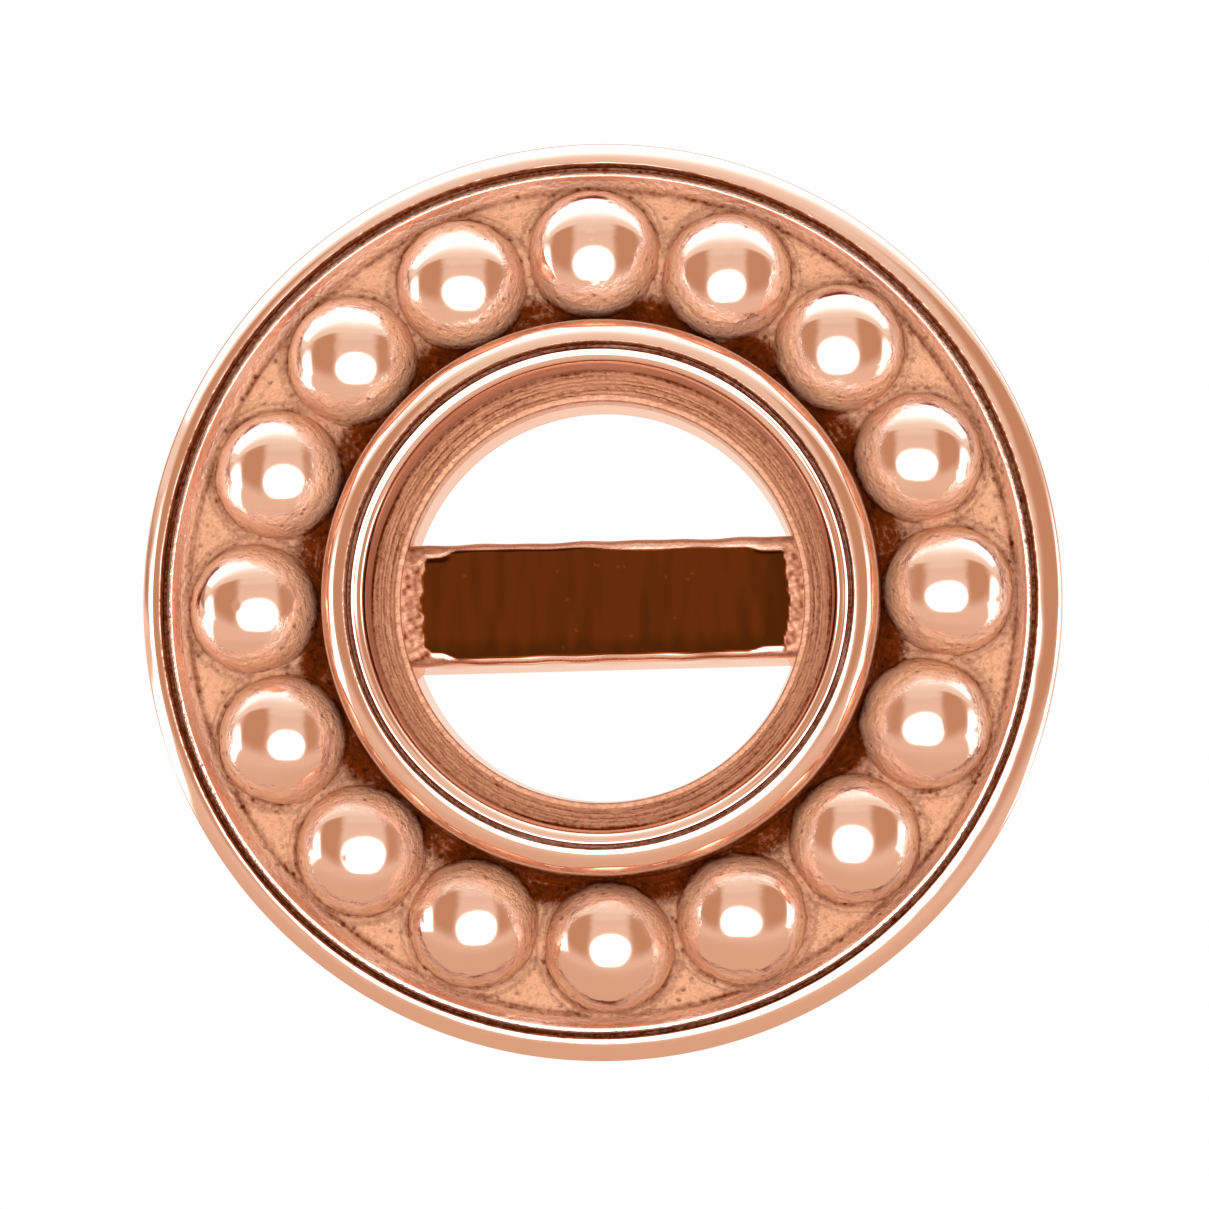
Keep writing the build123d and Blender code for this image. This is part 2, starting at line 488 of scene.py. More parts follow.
bar = {
    "width": 1.86,
    "spread": 0.07,         # wider at the back
    "thickness": 1.18,
    "edge": 0.14,
    "backEdge": 0.06,
    "reach": 3.42,          # half its length, into the tray's wall
    "steps": 240,
    "waver": 0.010,         # of its two sides, in waves of these lengths
    "waves": (2.4, 1.3, 0.8),
    "pocket": 0.015,        # depth of the unpolished pockets at its four corners
    "pocketReach": (2.20, 2.50),    # where they start and are full, along the bar
    "pocketSide": (0.30, 0.12),     # and in from its side
    "ends": (2.79, 2.87),   # left and right, where solder has run onto its flat
    "solderGrain": 0.05,
    "flatEdge": 0.09,       # the flat's painted dark reflection ends this far in from the bar's side
    "flatWaver": 0.008,
    "flatWaves": (2.9, 1.7, 0.9),
    "flatRight": 0.05,      # further in on the right half of the upper side
    "flatPocket": 0.09,     # and beside the pockets
    "flatBrown": 1.45,      # painted dark reflection on the flat: above 1 the brown turns into the deepest tone
    "shade": 0.05,          # painted shade added at the lower side and at the right end
    "specks": 14,
    "speckSize": 0.025,
    "speckLight": 0.10,
    "specksAcross": (-2.2, 2.4),
    "specksUp": (-0.75, 0.6),
}
rimWall = ringSize["outer"] + 0.06


def rolled(radius, height, stops, count):
    # the round top of a rim or collar, from its inner wall and its crest
    return bendThrough(*((radius + across, height + rise) for across, rise in stops), count)


def makeBar():
    half = bar["width"] / 2
    line = outline([
        (half, bar["thickness"], bar["edge"], 0.022),
        (-half, bar["thickness"], bar["edge"], 0.10),
        (-half - bar["spread"], 0.0, bar["backEdge"], 0.12),
        (half + bar["spread"], 0.0, bar["backEdge"], 0.10),
    ])
    shape = (bar["steps"], len(line))
    x = np.broadcast_to(np.linspace(-bar["reach"], bar["reach"], bar["steps"])[:, None], shape)
    y = np.broadcast_to(line[:, 0], shape).copy()
    z = np.broadcast_to(line[:, 1], shape).copy()
    front = between(z, bar["thickness"] - 0.5, bar["thickness"] - 0.1)
    upper = between(y, 0.5, 0.9) * waver(x, 11, bar["waves"])
    lower = between(-y, 0.5, 0.9) * waver(x, 12, bar["waves"])
    y += bar["waver"] * (upper + lower) * front
    nearSide = between(np.abs(y), *(half - inset for inset in bar["pocketSide"]))
    nearEnd = between(np.abs(x), *bar["pocketReach"])
    z -= front * nearSide * nearEnd * bar["pocket"]
    z += 0.002 * front * ripple(np.stack((x, y, z), -1), 0.6, 13)
    points = np.stack((x, y, z), -1)
    caps = points[[0, -1]].mean(axis=1)
    return makeMesh("bar", np.concatenate((points.reshape(-1, 3), caps)),
                    domeFaces(bar["steps"], len(line)))


def makeTray():
    outer = traySize["outer"]
    back = traySize["low"]
    front = traySize["high"]
    window = cupSize["inner"] - tray["windowLedge"]
    bevel = tray["roll"][0][0]
    line = outline([
        (window, tray["seatHeight"], 0.03, 0.06),
        (cupSize["outer"], tray["seatHeight"], 0, 0.15),
        (cupSize["outer"], tray["plate"], 0, 0.35),
        (rimWall, tray["plate"], 0, 0.16),
        (rimWall, front - bevel, 0, 0.015),
        (rimWall + bevel, front, 0.01, 0.02),
        (rolled(rimWall, front, tray["roll"], 18), 0.02),
        (outer, front - tray["rollEnd"], tray["rimEdge"], 0.10),
        (outer, back, tray["backCorner"], 0.20),
        (window - tray["draft"], back, 0.04, 0.08),
    ])
    radius, height, angle = turned(line, tray["turns"])
    points = onAxis(radius, height, angle)
    rim = between(radius, rimWall - 0.2, rimWall)
    crest = between(height, front - 0.5, front)
    inner = rim * (1 - between(radius, rimWall + 0.02, outer - 0.02))
    wear = tray["wear"] * (waver(angle, 21, roundWaves) + 0.6 * ripple(points, tray["wearSize"], 22))
    points[..., :2] *= (1 + inner * wear / radius)[..., None]
    points[..., 0] += tray["seamShift"] * inner
    points[..., 2] -= np.abs(0.3 * wear) * crest * rim
    body = makeMesh("backTray", points, gridFaces(*radius.shape))
    fuse(body, [makeBar()])
    return body


def dressTray(body):
    points, radius, height = readPoints(body)
    x = points[:, 0]
    y = points[:, 1]
    window = cupSize["inner"] - tray["windowLedge"]
    half = bar["width"] / 2

    # the bar's flat, painted brown as a dark reflection with painted shade in streaks and lighter specks,
    # between its bright edges
    inWindow = 1 - between(radius, window - 0.01, window + 0.02)
    onFlat = between(height, bar["thickness"] - 0.10, bar["thickness"] - 0.04) * inWindow
    upper = y > 0
    away = np.abs(y)
    nearEnd = between(np.abs(x), *bar["pocketReach"]) * (1 - 0.3 * (x > 0))
    edge = half - bar["flatEdge"] + bar["flatWaver"] * waver(x, 14, bar["flatWaves"])
    edge -= bar["flatRight"] * between(x, -0.3, 0.6) * upper + bar["flatPocket"] * nearEnd
    flat = onFlat * (1 - between(away, edge - 0.02, edge + 0.015))
    end = np.where(x < 0, *bar["ends"]) + 0.02 * ripple(points, 0.10, 18)
    soldered = onFlat * between(radius, end - 0.02, end + 0.02)
    flat *= 1 - soldered
    # painted shade on the flat, more at its lower side and its right end
    shaded = between(-y, 0.45, 0.80) + between(x, 2.35, 2.65)
    streaks = ripple(points * (2.5, 0.35, 1), 0.25, 17)
    flat *= bar["flatBrown"] + bar["shade"] * np.clip(shaded + 0.25 * streaks + 0.10, 0, 1)
    pocket = onFlat * nearEnd * between(away, edge + 0.045, edge + 0.065)
    upperEdge = inWindow * upper * between(away, edge - 0.02, edge + 0.02)
    upperEdge *= height > bar["thickness"] - 0.4
    speckDraw = np.random.default_rng(15)
    for number in range(bar["specks"]):
        speckX = speckDraw.uniform(*bar["specksAcross"])
        speckY = speckDraw.uniform(*bar["specksUp"])
        far = np.hypot(x - speckX, y - speckY)
        speck = 1 - between(far, 0.4 * bar["speckSize"], 1.3 * bar["speckSize"])
        flat = flat - bar["speckLight"] * speck * (flat > bar["flatBrown"] - bar["shade"])

    # the seam, and the ledge under the cup's hole
    inSeam = between(radius, *tray["seamWall"]) * (height > tray["plate"] - 0.05)
    bevel = tray["roll"][0][0]
    inSeam *= 1 - between(radius - tray["seamShift"] * x / radius,
                          rimWall + bevel - 0.004, rimWall + bevel + 0.012)
    onLedge = between(radius, window - 0.05, window - 0.04) * (height > tray["seatHeight"] - 0.04)
    onLedge *= radius < cupSize["outer"] + 0.1

    solderSpots = 0.50 + 0.25 * ripple(points, bar["solderGrain"], 19)
    # brown: the painted dark reflection on the flat, the dark seam, painted shade and tarnish in the
    # pockets, solder and the ledge
    hollow = np.maximum(flat, tray["seamBrown"] * inSeam)
    hollow = np.maximum(hollow, np.maximum(0.6 * pocket, solderSpots * soldered))
    hollow = np.maximum(hollow, tray["ledgeBrown"] * onLedge)
    polish = np.where(height < 0.05, tray["backPolish"], 1.0) * (1 - onLedge) * (1 - inSeam)
    polish *= (1 - pocket) * (1 - soldered) * (1 - 0.6 * upperEdge)
    giveFinish(body, polish, hollow)
    setDown(body, "back_tray", polishedRoseGold)


dressTray(makeTray())


# Beaded ring

ring = {
    "turns": 640,
    "collar": 0.36,         # inner roll
    "flank": 0.10,
    "roll": ((0.02, 0.0), (0.28, -0.055), (0.39, -0.32)),   # its round top, given as the rim's
    "floor": 1.60,
    "border": 0.17,
    "borderSlope": 0.20,
    "borderEdge": 0.08,
    "seamBevel": 0.03,
    "seamDepth": 0.03,      # solder stands this far below the seam's edges
    "seamGap": 0.01,
    "mound": 0.07,          # metal drawn up round each bead's foot
    "moundReach": 0.14,
    "grain": 0.012,         # unevenness of the floor
    "grainSize": 0.16,
    "wear": 0.008,
}
# painted shade with tarnish in the ring's corners, in brown, and the brown of its seams
ringBrown = {
    "footLine": 0.07,       # width of the painted shade and tarnish round each bead's foot
    "narrow": 0.16,         # and where two beads stand close
    "line": 0.26,           # how brown that line is, and how much more so
    "inward": 0.66,         # towards the collar
    "outward": 0.52,        # and towards the rim
    "ditch": 1.00,          # between the collar and the beads
    "flank": 0.80,          # the collar's side
    "borderFoot": 0.50,
    "borderFootWidth": 0.06,
    "patches": 0.30,        # added here and there to these last three
    "seam": 0.9,
}
bead = {
    "count": 16,
    "top": 2.46,
    "crown": 1.13,          # radius of its polished cap
    "cap": 0.77,            # half the width of that cap
    "waist": (0.93, 0.41),      # the rough skirt below it, half width and height
    "ankle": (0.985, 0.14),
    "heel": (1.0, 0.03),
    "foot": (1.12, -0.015),
    "root": 0.30,
    "lean": 12.0,           # degrees outwards
    "leanBy": 0.35,         # reached at this height
    "sides": 64,
    "unevenness": 0.016,    # of their sizes
    "unround": 0.009,       # of each one's shape
    "ridge": 0.008,         # scraper's marks round its skirt
    "skirtGrain": 0.010,
}
beadCircle = (ringSize["inner"] + ring["collar"] + ring["flank"] + ringSize["outer"]
              - ring["borderSlope"] - ring["borderEdge"]) / 2
beadHeight = bead["top"] - ring["floor"]
beadDraw = np.random.default_rng(5)
beads = []
for number in range(bead["count"]):
    turn = 2 * math.pi * number / bead["count"] + beadDraw.normal(0, 0.003)
    foot = onAxis(beadCircle + beadDraw.normal(0, 0.008), ring["floor"], turn)
    ways = np.array(((math.cos(turn), math.sin(turn), 0), (-math.sin(turn), math.cos(turn), 0), (0, 0, 1)))
    beads.append({"foot": foot, "ways": ways, "seed": number,
                  "size": 1 + bead["unevenness"] * beadDraw.uniform(-1, 0.8),
                  "lean": math.radians(bead["lean"] + beadDraw.normal(0, 1.5)),
                  "cap": bead["cap"] * (1 + beadDraw.normal(0, 0.012))})


def leaned(points, one, way):
    # a bead's points leaned outwards about its foot, or back again
    lean = way * one["lean"] * between(points[..., 2], 0, bead["leanBy"])
    x = points[..., 0] * np.cos(lean) + points[..., 2] * np.sin(lean)
    z = points[..., 2] * np.cos(lean) - points[..., 0] * np.sin(lean)
    return np.stack((x, points[..., 1], z), -1)


def beadOutline():
    # from the top of a bead down its side: round cap, rough skirt, flared foot and root
    capTurn = np.linspace(0, math.asin(bead["cap"] / bead["crown"]), 15)[1:]
    cap = np.stack((bead["crown"] * np.sin(capTurn),
                    beadHeight - bead["crown"] * (1 - np.cos(capTurn))), -1)
    skirt = bendThrough(cap[-1], bead["waist"], bead["ankle"], 12)
    foot = bendThrough(bead["ankle"], bead["heel"], bead["foot"], 7)
    reach = bead["foot"][0] + 0.01
    return np.concatenate((cap, skirt, foot, ((reach, -0.1), (reach, -bead["root"]))))


def makeBead(one):
    line = beadOutline()
    across, rise, angle = turned(line, bead["sides"])
    points = onAxis(across, rise, angle).transpose(1, 0, 2)
    across = across.T
    rise = rise.T
    points = points * (1 + bead["unround"] * ripple(points, 0.6, 100 + one["seed"])[..., None])
    onSkirt = between(across, one["cap"] - 0.02, one["cap"] + 0.06)
    patches = between(ripple(points, 0.6, one["seed"]), -0.5, 0.5)
    ridges = waver(rise, 400 + one["seed"], (0.13, 0.08)) * patches
    inward = bead["ridge"] * onSkirt * ridges
    inward = inward + bead["skirtGrain"] * onSkirt * ripple(points, 0.12, 200 + one["seed"])
    points[..., :2] *= (1 - inward / across)[..., None]
    ends = np.array(((0, 0, beadHeight), (0, 0, -bead["root"])))
    points = leaned(np.concatenate((points.reshape(-1, 3), ends)), one, 1) * one["size"]
    return makeMesh("bead", points @ one["ways"] + one["foot"], domeFaces(len(line), bead["sides"]))


def fromBeads(points):
    # distance from the nearest and the second nearest bead, in the plane of the floor
    nearest = np.full(points.shape[:-1], 9.0)
    second = nearest.copy()
    for one in beads:
        away = np.hypot(points[..., 0] - one["foot"][0], points[..., 1] - one["foot"][1])
        away = np.maximum(away - one["size"], 0)
        second = np.minimum(second, np.maximum(nearest, away))
        nearest = np.minimum(nearest, away)
    return nearest, second


def makeRing():
    inner = ringSize["inner"]
    outer = ringSize["outer"]
    low = ringSize["low"]
    top = ringSize["high"]
    collar = inner + ring["collar"]
    edge = ring["floor"] + ring["border"]
    bevel = ring["seamBevel"]
    seam = edge - bevel - ring["seamDepth"]
    line = outline([
        (inner, low, 0, 0.45),
        (inner, top - 0.02, 0, 0.02),
        (inner + 0.02, top, 0.008, 0.02),
        (rolled(inner, top, ring["roll"], 20), 0.04),
        (collar + ring["flank"], ring["floor"], 0.06, 0.045),
        (outer - ring["borderEdge"] - ring["borderSlope"], ring["floor"], 0.06, 0.03),
        (outer - ring["borderEdge"], edge, 0.03, 0.03),
        (outer - bevel, edge - 0.01, 0.012, 0.02),
        (outer, edge - bevel, 0, 0.03),
        (outer, seam, 0, 0.03),
        (rimWall - ring["seamGap"], seam, 0, 0.4),
        (rimWall - ring["seamGap"], low, 0, 0.45),
    ])
    radius, height, angle = turned(line, ring["turns"])
    points = onAxis(radius, height, angle)
    nearest, second = fromBeads(points)
    onFloor = between(height, ring["floor"] - 0.02, ring["floor"])
    onFloor *= 1 - between(height, ring["floor"] + 0.25, ring["floor"] + 0.6)
    onFloor *= 1 - between(radius, outer - 0.42, outer - 0.28)
    mound = np.exp(-(nearest / ring["moundReach"]) ** 2) + np.exp(-(second / ring["moundReach"]) ** 2)
    points[..., 2] += ring["mound"] * onFloor * mound
    points[..., 2] += ring["grain"] * onFloor * ripple(points, ring["grainSize"], 31)
    wear = ring["wear"] * (0.6 * waver(angle, 32, roundWaves) + 0.3 * ripple(points, 0.5, 33))
    edges = between(radius, outer - 0.12, outer) * (radius < outer + 0.005)
    edges = edges + 0.5 * (1 - between(radius, inner, inner + 0.06))
    points[..., :2] *= (1 - np.abs(wear) * edges / radius)[..., None]
    points[..., 0] += tray["seamShift"] * between(radius, beadCircle + 0.9, outer - 0.1)
    body = makeMesh("beadedRing", points, gridFaces(*radius.shape))
    fuse(body, [makeBead(one) for one in beads])
    return body


def dressRing(body):
    points, radius, height = readPoints(body)
    rise = height - ring["floor"]
    nearest, second = fromBeads(points)
    cap = np.zeros(len(points))
    lathe = roundPlace(points)

    # polished: the beads' caps with a ragged edge, the collar and the outer border
    for one in beads:
        own = leaned((points - one["foot"]) @ one["ways"].T / one["size"], one, -1)
        across = np.hypot(own[:, 0], own[:, 1])
        ragged = one["cap"] + 0.025 * ripple(own, 0.15, 300 + one["seed"])
        ragged = ragged + 0.045 * ripple(own, 0.5, 350 + one["seed"])
        ragged = ragged - 0.06 * between(own[:, 0] / (across + 0.1), 0.2, 0.8)
        onCap = (1 - between(across, ragged - 0.10, ragged + 0.16)) * between(own[:, 2], 0.15, 0.3)
        cap = np.maximum(cap, onCap)
        close = across < bead["foot"][0]
        lathe[close] = roundPlace(own)[close] + one["seed"]
    collar = ringSize["inner"] + ring["collar"]
    onCollar = 1 - between(radius, collar + 0.03, collar + 0.08)
    onCollar *= between(rise, 0.60, 0.76)
    onBorder = between(radius, ringSize["outer"] - 0.24, ringSize["outer"] - 0.12)
    polish = np.maximum(cap, np.maximum(onCollar, 0.80 * onBorder))
    shifted = radius - tray["seamShift"] * points[:, 0] / radius
    outerEdge = ringSize["outer"] - ring["seamBevel"]
    outerSeam = between(shifted, outerEdge + 0.006, outerEdge + 0.020)
    innerSeam = 1 - between(radius, ringSize["inner"] + 0.012, ringSize["inner"] + 0.025)
    seam = np.maximum(innerSeam, outerSeam)
    polish *= 1 - seam
    rough = 1 - polish

    # painted shade with brown tarnish: round the beads' feet, in the ditch beside the collar and in the
    # corners
    inward = 1 - between(radius, beadCircle - 0.85, beadCircle - 0.10)
    outward = between(radius, beadCircle + 0.05, beadCircle + 0.40)
    low = 1 - between(rise, 0.06, 0.26 + 0.14 * inward)
    patchy = between(ripple(points, 0.35, 34), -1.4, 0.9)
    added = ringBrown["patches"] * patchy
    nearFoot = np.exp(-(nearest / ringBrown["footLine"]) ** 2)
    narrow = np.exp(-(second / ringBrown["narrow"]) ** 2)
    depth = ringBrown["line"] + ringBrown["inward"] * inward + ringBrown["outward"] * outward
    hollow = low * (0.55 + 0.45 * patchy) * depth * np.maximum(nearFoot, narrow)
    inside = 1 - between(radius, collar + 0.34, collar + 0.72)
    hollow = np.maximum(hollow, (ringBrown["ditch"] + added) * low * inside)
    flank = between(radius, collar + 0.02, collar + 0.05)
    flank *= 1 - between(radius, collar + 0.10, collar + 0.2)
    hollow = np.maximum(hollow, (ringBrown["flank"] + added) * flank * (nearest > 0.01))
    borderFoot = ringSize["outer"] - ring["borderEdge"] - ring["borderSlope"] - 0.01
    corner = np.exp(-((radius - borderFoot) / ringBrown["borderFootWidth"]) ** 2)
    corner *= 1 - between(rise, 0.02, 0.12)
    hollow = np.maximum(hollow, (ringBrown["borderFoot"] + added) * corner)
    hollow = np.maximum(hollow * rough, ringBrown["seam"] * seam)
    giveFinish(body, polish, hollow, lathe)
    setDown(body, "beaded_ring", castRoseGold)


dressRing(makeRing())


# Stone cup

cup = {
    "turns": 640,
    "cone": 0.30,           # height of the slope under the stone
    "ledge": 0.05,
    "wallLean": 0.02,
    "flare": 0.165,         # the mouth's round inner side
    "flareHeight": 0.20,
    "flareBulge": 0.045,
    "lipRise": 0.010,
    "groove": 0.004,        # depth of the burr's marks
    "marks": (3.25, 3.34),  # radii of two deeper ones
    "markWidth": 0.012,
    "markBrown": 0.45,
    "cornerWidth": 0.035,   # of the painted shade and tarnish in the corner between shelf and wall
    "cornerBrown": 0.75,
    "seamBrown": 0.9,
    "wallPolish": 0.25,     # the wall is satin up to its top
    "wear": 0.006,
}


def makeCup():
    inner = cupSize["inner"]
    outer = cupSize["outer"]
    foot = cupSize["low"]
    shelf = foot + cup["cone"]
    mouth = cupSize["high"] - cup["lipRise"]
    wallTop = (seatRadius + cup["wallLean"], mouth - cup["flareHeight"])
    flareEnd = (seatRadius + cup["flare"], mouth - 0.004)
    flare = arcThrough(wallTop, flareEnd, cup["flareBulge"], 16)
    lip = arcThrough((seatRadius + cup["flare"] + 0.012, mouth), (outer, mouth), cup["lipRise"], 10)
    seam = mouth - 2 * ring["seamDepth"]
    wall = ringSize["inner"] - ring["seamGap"]
    line = outline([
        (outer, foot, 0, 0.15),
        (inner, foot, 0.02, 0.011),
        (seatRadius - cup["ledge"], shelf, 0.015, 0.015),
        (seatRadius, shelf, 0.01, 0.02),
        (flare, 0.02),
        (lip, 0.05),
        (outer, seam, 0, 0.03),
        (wall, seam, 0, 0.2),
        (wall, foot + 0.2, 0, 0.1),
        (outer, foot + 0.15, 0, 0.2),
    ])
    radius, height, angle = turned(line, cup["turns"])
    points = onAxis(radius, height, angle)
    onCone = 1 - between(height, shelf - 0.03, shelf + 0.01)
    onCone *= between(height, foot + 0.01, foot + 0.04) * (radius < seatRadius)
    grooves = waver(radius + 0.01 * waver(angle, 44, roundWaves), 45, (0.11, 0.07, 0.045))
    rough = onCone * (0.006 * ripple(points, 0.10, 41) + cup["groove"] * grooves)
    onLip = between(height, mouth - 0.02, mouth + 0.02)
    wear = cup["wear"] * onLip * (0.5 * waver(angle, 42, roundWaves) + 0.4 * ripple(points, 0.3, 43))
    points[..., 2] -= np.abs(wear) - rough
    points[..., :2] *= (1 + (0.5 * wear - rough) / radius)[..., None]
    return makeMesh("stoneCup", points, gridFaces(*radius.shape))


def dressCup(body):
    points, radius, height = readPoints(body)
    shelf = cupSize["low"] + cup["cone"]
    wallTop = cupSize["high"] - cup["lipRise"] - cup["flareHeight"]
    polish = cup["wallPolish"] * between(height, shelf + 0.02, shelf + 0.12)
    polish += (1 - cup["wallPolish"]) * between(height, wallTop - 0.04, wallTop + 0.04)
    # painted shade and tarnish in the corner between shelf and wall
    corner = np.exp(-((radius - seatRadius + 0.02) / cup["cornerWidth"]) ** 2)
    corner *= 1 - between(height, shelf + 0.02, shelf + 0.10)
    outside = between(radius, cupSize["outer"] - 0.012, cupSize["outer"])
    deep = 1 - between(height, cupSize["high"] - 0.08, cupSize["high"] - 0.05)
    polish *= 1 - outside * deep
    grooves = sum(np.exp(-((radius - mark) / cup["markWidth"]) ** 2) for mark in cup["marks"])
    onCone = 1 - between(height, shelf - 0.04, shelf - 0.01)
    hollow = np.maximum(cup["cornerBrown"] * corner, cup["seamBrown"] * outside * deep)
    hollow = hollow + cup["markBrown"] * onCone * grooves
    giveFinish(body, polish, hollow)
    setDown(body, "stone_cup", turnedRoseGold)


dressCup(makeCup())


# Ear post

post = {
    "sides": 96,
    "tipSteps": 16,
    "shaftSteps": 60,
    "chamfer": 0.02,        # at the end that stands in the tray
    "polish": 0.9,
}


def makePost():
    radius = mounts["post"]["dims"]["r_mm"]
    top = postSize["high"]
    tip = postSize["low"]
    tipTurn = np.linspace(0, math.pi / 2, post["tipSteps"])[1:]
    end = np.stack((radius * np.sin(tipTurn), tip + radius - radius * np.cos(tipTurn)), -1)
    heights = np.linspace(tip + radius, top - post["chamfer"], post["shaftSteps"])[1:]
    shaft = np.stack((np.full(len(heights), radius), heights), -1)
    line = np.concatenate((end, shaft, ((radius - post["chamfer"], top),)))
    wide, height, angle = turned(line, post["sides"])
    points = onAxis(wide, height, angle).transpose(1, 0, 2).reshape(-1, 3)
    points = np.concatenate((points, ((0, 0, tip), (0, 0, top))))
    return makeMesh("earPost", points, domeFaces(len(line), post["sides"]))


def dressPost(body):
    count = len(body.data.vertices)
    giveFinish(body, np.full(count, post["polish"]), np.zeros(count))
    setDown(body, "ear_post", polishedRoseGold)


dressPost(makePost())


# Floor and studio light

floor = {
    "size": 1.2,            # metres
    "seen": "#FFFFFF",      # the board is lit from below
    "near": "#E3C7B1",      # painted shadow of the jewel: what it throws back on the jewel, close to it
    "far": "#EEDAC9",       # and further off
    "behind": "#FFF3EA",    # and behind the jewel
    "middle": (0, -0.005, 0),
    "nearReach": 0.003,
    "farReach": 0.025,
    "behindReach": (-0.001, 0.004),
    "side": "#ECF1FF",      # painted glow of the side strips on it, in a lane to each side
    "sideStrength": 3.8,
    "sideStart": (0.012, 0.016),
    "sideWay": -0.25,       # the lane's middle and half its width, for each metre sideways
    "sideWidth": (0.10, 0.17),
}


def makeFloor():
    half = floor["size"] / 2
    mesh = bpy.data.meshes.new("floor")
    mesh.from_pydata([(-half, -half, 0), (half, -half, 0), (half, half, 0), (-half, half, 0)],
                     [], [(0, 1, 2, 3)])
    thing = bpy.data.objects.new("floor", mesh)
    bpy.context.scene.collection.objects.link(thing)
    # matt acrylic board lit from below, so that nothing shades it, with a painted warm shadow round the
    # jewel and a painted glow of the side strips, both seen only in reflections
    material = bpy.data.materials.new("lit acrylic board")
    material.use_nodes = True
    tree = material.node_tree
    tree.nodes.clear()
    place = addNode(tree, "NewGeometry", {}, "Position")
    sideways = addNode(tree, "SeparateXYZ", {0: place}, "X")
    depth = addNode(tree, "SeparateXYZ", {0: place}, "Y")
    away = addNode(tree, "VectorMath", {"operation": "DISTANCE", 0: place, 1: floor["middle"]}, "Value")
    share = addNode(tree, "MapRange", {"interpolation_type": "SMOOTHSTEP",
                    "From Min": floor["nearReach"], "From Max": floor["farReach"], "Value": away})
    colour = addNode(tree, "Mix", {"data_type": "RGBA", 0: share, 6: toLinear(floor["near"]),
                     7: toLinear(floor["far"])}, 2)
    share = addNode(tree, "MapRange", {"interpolation_type": "SMOOTHSTEP",
                    "From Min": floor["behindReach"][0], "From Max": floor["behindReach"][1],
                    "Value": depth})
    colour = addNode(tree, "Mix", {"data_type": "RGBA", 0: share, 6: colour,
                     7: toLinear(floor["behind"])}, 2)

    # the painted glow of the side strips, in a lane to each side
    sideways = addNode(tree, "Math", {"operation": "ABSOLUTE", 0: sideways})
    way = addNode(tree, "Math", {"operation": "DIVIDE", 0: depth, 1: sideways})
    way = addNode(tree, "Math", {"operation": "SUBTRACT", 0: way, 1: floor["sideWay"]})
    way = addNode(tree, "Math", {"operation": "ABSOLUTE", 0: way})
    inLane = addNode(tree, "MapRange", {"interpolation_type": "SMOOTHSTEP",
                     "From Min": floor["sideWidth"][1], "From Max": floor["sideWidth"][0],
                     "Value": way})
    farOut = addNode(tree, "MapRange", {"interpolation_type": "SMOOTHSTEP",
                     "From Min": floor["sideStart"][0], "From Max": floor["sideStart"][1],
                     "Value": sideways})
    share = addNode(tree, "Math", {"operation": "MULTIPLY", 0: inLane, 1: farOut})
    glow = tuple(c * floor["sideStrength"] for c in toLinear(floor["side"]))
    colour = addNode(tree, "Mix", {"data_type": "RGBA", 0: share, 6: colour, 7: glow}, 2)

    seen = addNode(tree, "LightPath", {}, "Is Camera Ray")
    colour = addNode(tree, "Mix", {"data_type": "RGBA", 0: seen, 6: colour,
                     7: toLinear(floor["seen"])}, 2)
    lit = addNode(tree, "Emission", {"Strength": 1.0, "Color": colour})
    addNode(tree, "OutputMaterial", {"Surface": lit})
    mesh.materials.append(material)


# Soft light round the jewel, in degrees from the camera's own direction. The metal
# mirrors it: a broad box in front with pale panels above it, a bright tent roof that
# comes down behind, strips at the sides, and duller gaps between them.
tent = {"colour": "#FFEADC", "strength": 0.86}
boxes = {
    "gaps": {"beside": 55, "above": 22, "width": 22, "height": 34, "edge": 7, "power": 4,
             "slant": 0.5, "colour": "#FFCEAB", "strength": 0.60},
    "strips": {"beside": 83, "above": -13, "width": 10, "height": 28, "edge": 2.5, "power": 2.5,
               "colour": "#ECF1FF", "strength": 3.8},
    "lowPanel": {"beside": 0, "above": 22, "width": 30, "height": 14, "edge": 2, "power": 8,
                 "colour": "#FFEEE2", "strength": 0.90},
    "midPanel": {"beside": 0, "above": 38, "width": 34, "height": 6, "edge": 2, "power": 8,
                 "colour": "#FFF0E4", "strength": 0.86},
    "highPanel": {"beside": 0, "above": 47, "width": 38, "height": 6, "edge": 2, "power": 8,
                  "colour": "#FFF4EA", "strength": 0.94},
    "frontBox": {"beside": 0, "above": -8, "width": 31, "height": 26, "edge": 3, "power": 2.2,
                 "colour": "#ECF1FF", "strength": 3.9},
}
roofs = {
    "front": {"sideways": 0.32, "starts": 50, "ends": 54, "colour": "#FFFAF3", "strength": 0.98},
    "back": {"sideways": 0.50, "starts": 56, "ends": 88, "colour": "#ECF1FF", "strength": 2.4},
    "behind": {"sideways": 0.0, "starts": 118, "ends": 126, "colour": "#E8BFA2", "strength": 0.55},
}


def brightness(light):
    return tuple(c * light["strength"] for c in toLinear(light["colour"]))


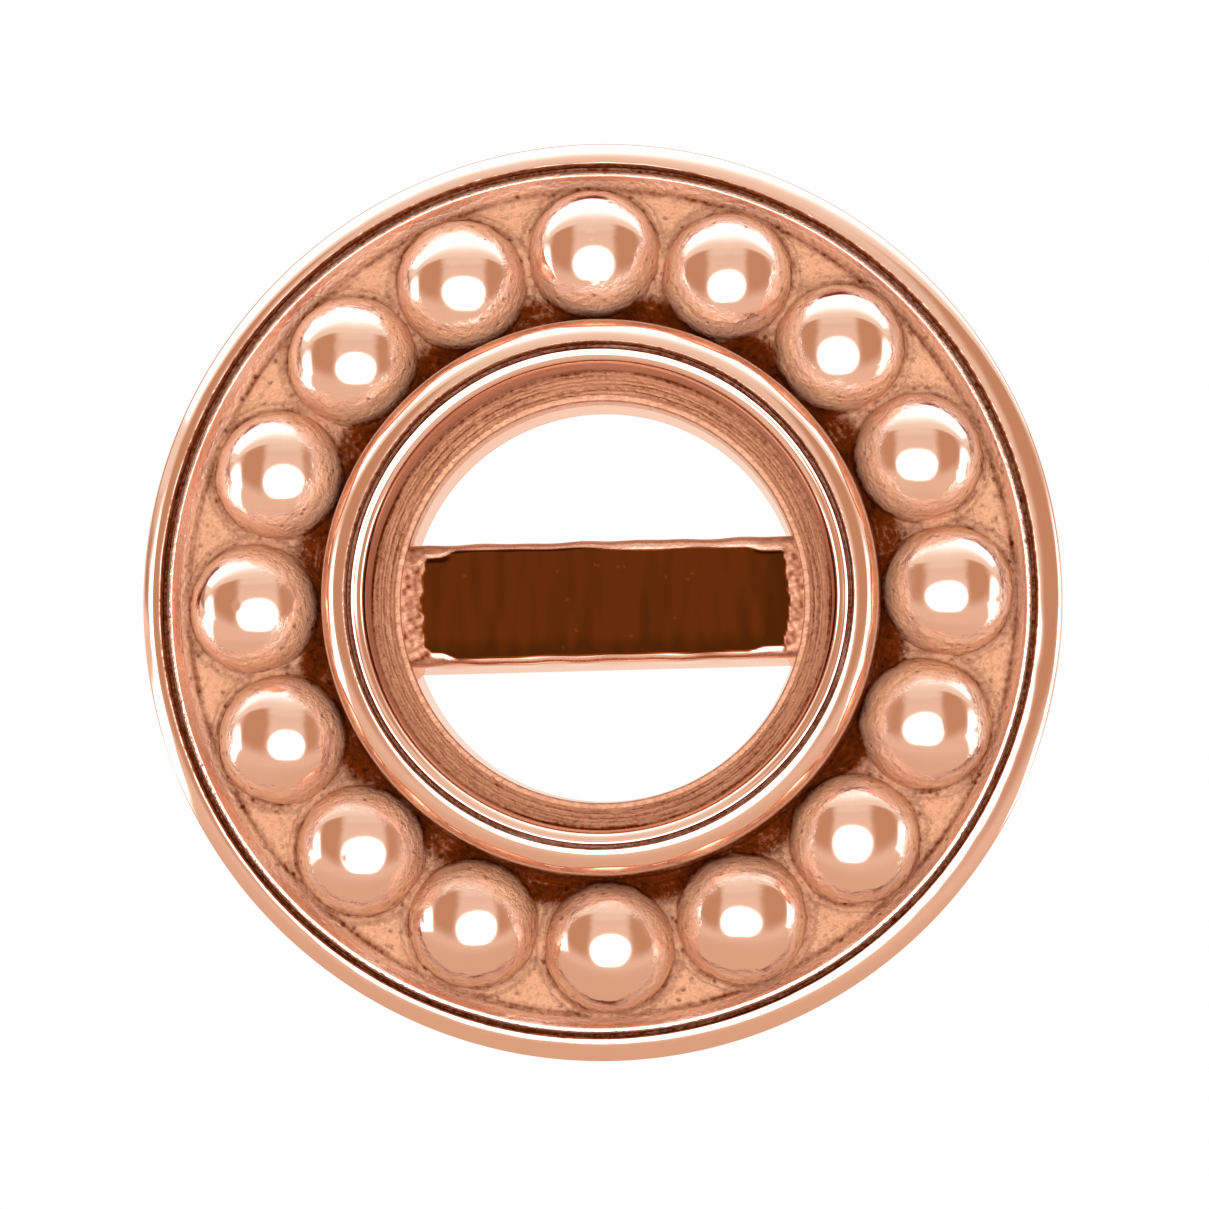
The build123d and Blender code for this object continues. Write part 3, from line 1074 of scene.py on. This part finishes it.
def makeStudio():
    world = bpy.data.worlds.new("studio")
    bpy.context.scene.world = world
    world.use_nodes = True
    tree = world.node_tree
    tree.nodes.clear()
    right = Vector((0, 0, 1)).cross(toCamera).normalized()
    upward = toCamera.cross(right)
    direction = addNode(tree, "TexCoord", {}, "Generated")
    x, y, z = (addNode(tree, "VectorMath", {"operation": "DOT_PRODUCT", 0: direction, 1: way}, "Value")
               for way in (right, upward, toCamera))
    beside = addNode(tree, "Math", {"operation": "ARCTAN2", 0: x, 1: z})
    beside = addNode(tree, "Math", {"operation": "ABSOLUTE", 0: beside})
    above = addNode(tree, "Math", {"operation": "ARCSINE", 0: y})
    light = addNode(tree, "RGB")
    light.default_value = brightness(tent)

    # soft boxes: how far away each direction is from a box's middle, 1 at its edge
    for box in boxes.values():
        slant = box.get("slant", 0.0)
        rise = addNode(tree, "Math", {"operation": "MULTIPLY_ADD", 0: beside, 1: -slant, 2: above})
        away = 0.0
        for angle, middle, half in ((beside, box["beside"], box["width"]),
                                    (rise, box["above"] - slant * box["beside"], box["height"])):
            angle = addNode(tree, "Math", {"operation": "SUBTRACT", 0: angle, 1: math.radians(middle)})
            angle = addNode(tree, "Math", {"operation": "DIVIDE", 0: angle, 1: math.radians(half)})
            angle = addNode(tree, "Math", {"operation": "ABSOLUTE", 0: angle})
            angle = addNode(tree, "Math", {"operation": "POWER", 0: angle, 1: box["power"]})
            away = addNode(tree, "Math", {"operation": "ADD", 0: angle, 1: away})
        away = addNode(tree, "Math", {"operation": "POWER", 0: away, 1: 1 / box["power"]})
        soft = box["edge"] / min(box["width"], box["height"])
        share = addNode(tree, "MapRange", {"interpolation_type": "SMOOTHSTEP",
                        "From Min": 1 + soft, "From Max": 1 - soft, "Value": away})
        light = addNode(tree, "Mix", {"data_type": "RGBA", 0: share, 6: light, 7: brightness(box)}, 2)

    # the roof, which comes down towards the sides
    for part in roofs.values():
        droop = addNode(tree, "Math", {"operation": "ABSOLUTE", 0: x})
        droop = addNode(tree, "Math", {"operation": "MULTIPLY", 0: droop, 1: part["sideways"]})
        overhead = addNode(tree, "Math", {"operation": "SUBTRACT", 0: y, 1: droop})
        overhead = addNode(tree, "Math", {"operation": "ARCTAN2", 0: overhead, 1: z})
        share = addNode(tree, "MapRange", {"interpolation_type": "SMOOTHSTEP",
                        "From Min": math.radians(part["starts"]),
                        "From Max": math.radians(part["ends"]), "Value": overhead})
        light = addNode(tree, "Mix", {"data_type": "RGBA", 0: share, 6: light, 7: brightness(part)}, 2)

    lit = addNode(tree, "Background", {"Color": light})
    pale = addNode(tree, "Background", {"Color": toLinear("#FFFFFF")})
    seen = addNode(tree, "LightPath", {}, "Is Camera Ray")
    mixed = addNode(tree, "MixShader", {0: seen, 1: lit, 2: pale})
    addNode(tree, "OutputWorld", {"Surface": mixed})


makeFloor()
makeStudio()
bpy.context.scene.view_settings.view_transform = "Standard"
print("floor and light")
